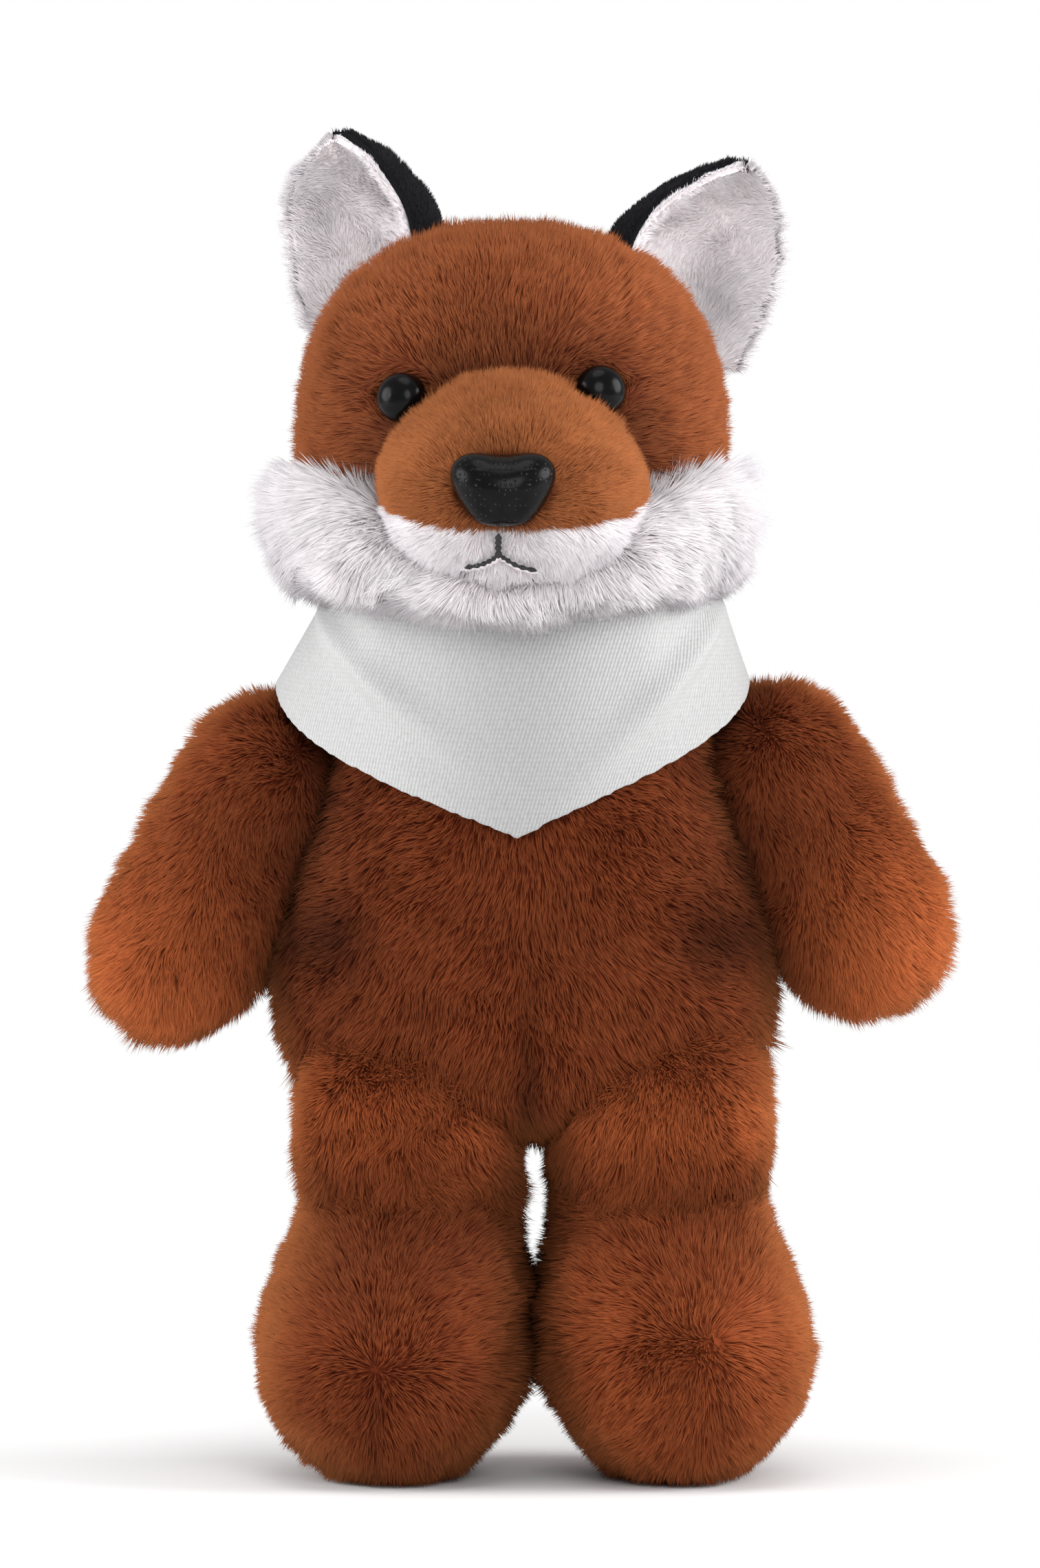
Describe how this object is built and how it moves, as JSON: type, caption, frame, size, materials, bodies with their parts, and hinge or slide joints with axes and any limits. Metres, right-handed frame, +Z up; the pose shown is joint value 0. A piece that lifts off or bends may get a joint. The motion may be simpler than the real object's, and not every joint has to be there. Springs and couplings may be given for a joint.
{
  "type": "plush fox",
  "caption": "Upright stuffed toy fox with a russet pile body, black-backed cupped ears, white cheeks and chin, moulded eyes and nose, and a plain white neck bandana; head, arms, legs and tail move at their seams.",
  "frame": {"origin": "middle of the part's box in plan, on the surface that the soles stand on", "axes": "+Z up along the toy's height, -Y the way the face looks, +X the toy's left"},
  "size_m": [0.194, 0.2045, 0.3053],
  "materials": {
    "arm_skin_left": "russet pile",
    "arm_skin_right": "russet pile",
    "arm_stuffing_left": "loose fibre",
    "arm_stuffing_right": "loose fibre",
    "bandana": "white twill",
    "bandana_knot": "white twill",
    "cheek_ruff": "white pile",
    "ear_back_left": "short black pile",
    "ear_back_right": "short black pile",
    "ear_lining_left": "white pile",
    "ear_lining_right": "white pile",
    "eye_left": "glossy black",
    "eye_right": "glossy black",
    "eye_washer_left": "plain moulded",
    "eye_washer_right": "plain moulded",
    "foot_skin_left": "russet pile",
    "foot_skin_right": "russet pile",
    "foot_stuffing_left": "loose fibre",
    "foot_stuffing_right": "loose fibre",
    "head_skin": "russet pile",
    "head_stuffing": "loose fibre",
    "leg_skin_left": "russet pile",
    "leg_skin_right": "russet pile",
    "leg_stuffing_left": "loose fibre",
    "leg_stuffing_right": "loose fibre",
    "mouth_stitch": "black thread",
    "muzzle_chin": "white pile",
    "muzzle_stuffing": "loose fibre",
    "muzzle_top": "short light russet pile",
    "nose": "glossy black",
    "nose_washer": "plain moulded",
    "tail_skin": "russet pile",
    "tail_stuffing": "loose fibre",
    "tail_tip": "white pile",
    "torso_skin": "russet pile",
    "torso_stuffing": "loose fibre"
  },
  "bodies": {
    "torso": {"torso_skin": "torso_skin", "torso_stuffing": "torso_stuffing", "bandana": "bandana", "bandana_knot": "bandana_knot"},
    "head": {"head_skin": "head_skin", "head_stuffing": "head_stuffing", "muzzle_top": "muzzle_top", "muzzle_chin": "muzzle_chin", "muzzle_stuffing": "muzzle_stuffing", "cheek_ruff": "cheek_ruff", "ear_back_right": "ear_back_right", "ear_back_left": "ear_back_left", "ear_lining_right": "ear_lining_right", "ear_lining_left": "ear_lining_left", "eye_right": "eye_right", "eye_left": "eye_left", "eye_washer_right": "eye_washer_right", "eye_washer_left": "eye_washer_left", "nose": "nose", "nose_washer": "nose_washer", "mouth_stitch": "mouth_stitch"},
    "arm_right": {"arm_skin_right": "arm_skin_right", "arm_stuffing_right": "arm_stuffing_right"},
    "arm_left": {"arm_skin_left": "arm_skin_left", "arm_stuffing_left": "arm_stuffing_left"},
    "leg_right": {"leg_skin_right": "leg_skin_right", "leg_stuffing_right": "leg_stuffing_right", "foot_skin_right": "foot_skin_right", "foot_stuffing_right": "foot_stuffing_right"},
    "leg_left": {"leg_skin_left": "leg_skin_left", "leg_stuffing_left": "leg_stuffing_left", "foot_skin_left": "foot_skin_left", "foot_stuffing_left": "foot_stuffing_left"},
    "tail": {"tail_skin": "tail_skin", "tail_tip": "tail_tip", "tail_stuffing": "tail_stuffing"}
  },
  "joints": [
    {"name": "head_turn", "type": "hinge", "parent": "torso", "child": "head", "pos_m": [0.0007, -0.0185, 0.1996], "axis": [0, 0, 1], "range_deg": [-35, 35], "stiffness_Nm_per_rad": 0.05},
    {"name": "arm_raise_right", "type": "hinge", "parent": "torso", "child": "arm_right", "pos_m": [-0.057, -0.0185, 0.157], "axis": [0, 1, 0], "range_deg": [0, 70]},
    {"name": "arm_raise_left", "type": "hinge", "parent": "torso", "child": "arm_left", "pos_m": [0.0583, -0.0185, 0.1595], "axis": [0, -1, 0], "range_deg": [0, 70]},
    {"name": "leg_swing_right", "type": "hinge", "parent": "torso", "child": "leg_right", "pos_m": [-0.0252, -0.0215, 0.08], "axis": [-1, 0, 0], "range_deg": [-15, 75]},
    {"name": "leg_swing_left", "type": "hinge", "parent": "torso", "child": "leg_left", "pos_m": [0.0316, -0.0215, 0.08], "axis": [-1, 0, 0], "range_deg": [-15, 75]},
    {"name": "tail_wag", "type": "hinge", "parent": "torso", "child": "tail", "pos_m": [0.0007, 0.0155, 0.096], "axis": [0, 0, 1], "range_deg": [-30, 30], "stiffness_Nm_per_rad": 0.02}
  ]
}
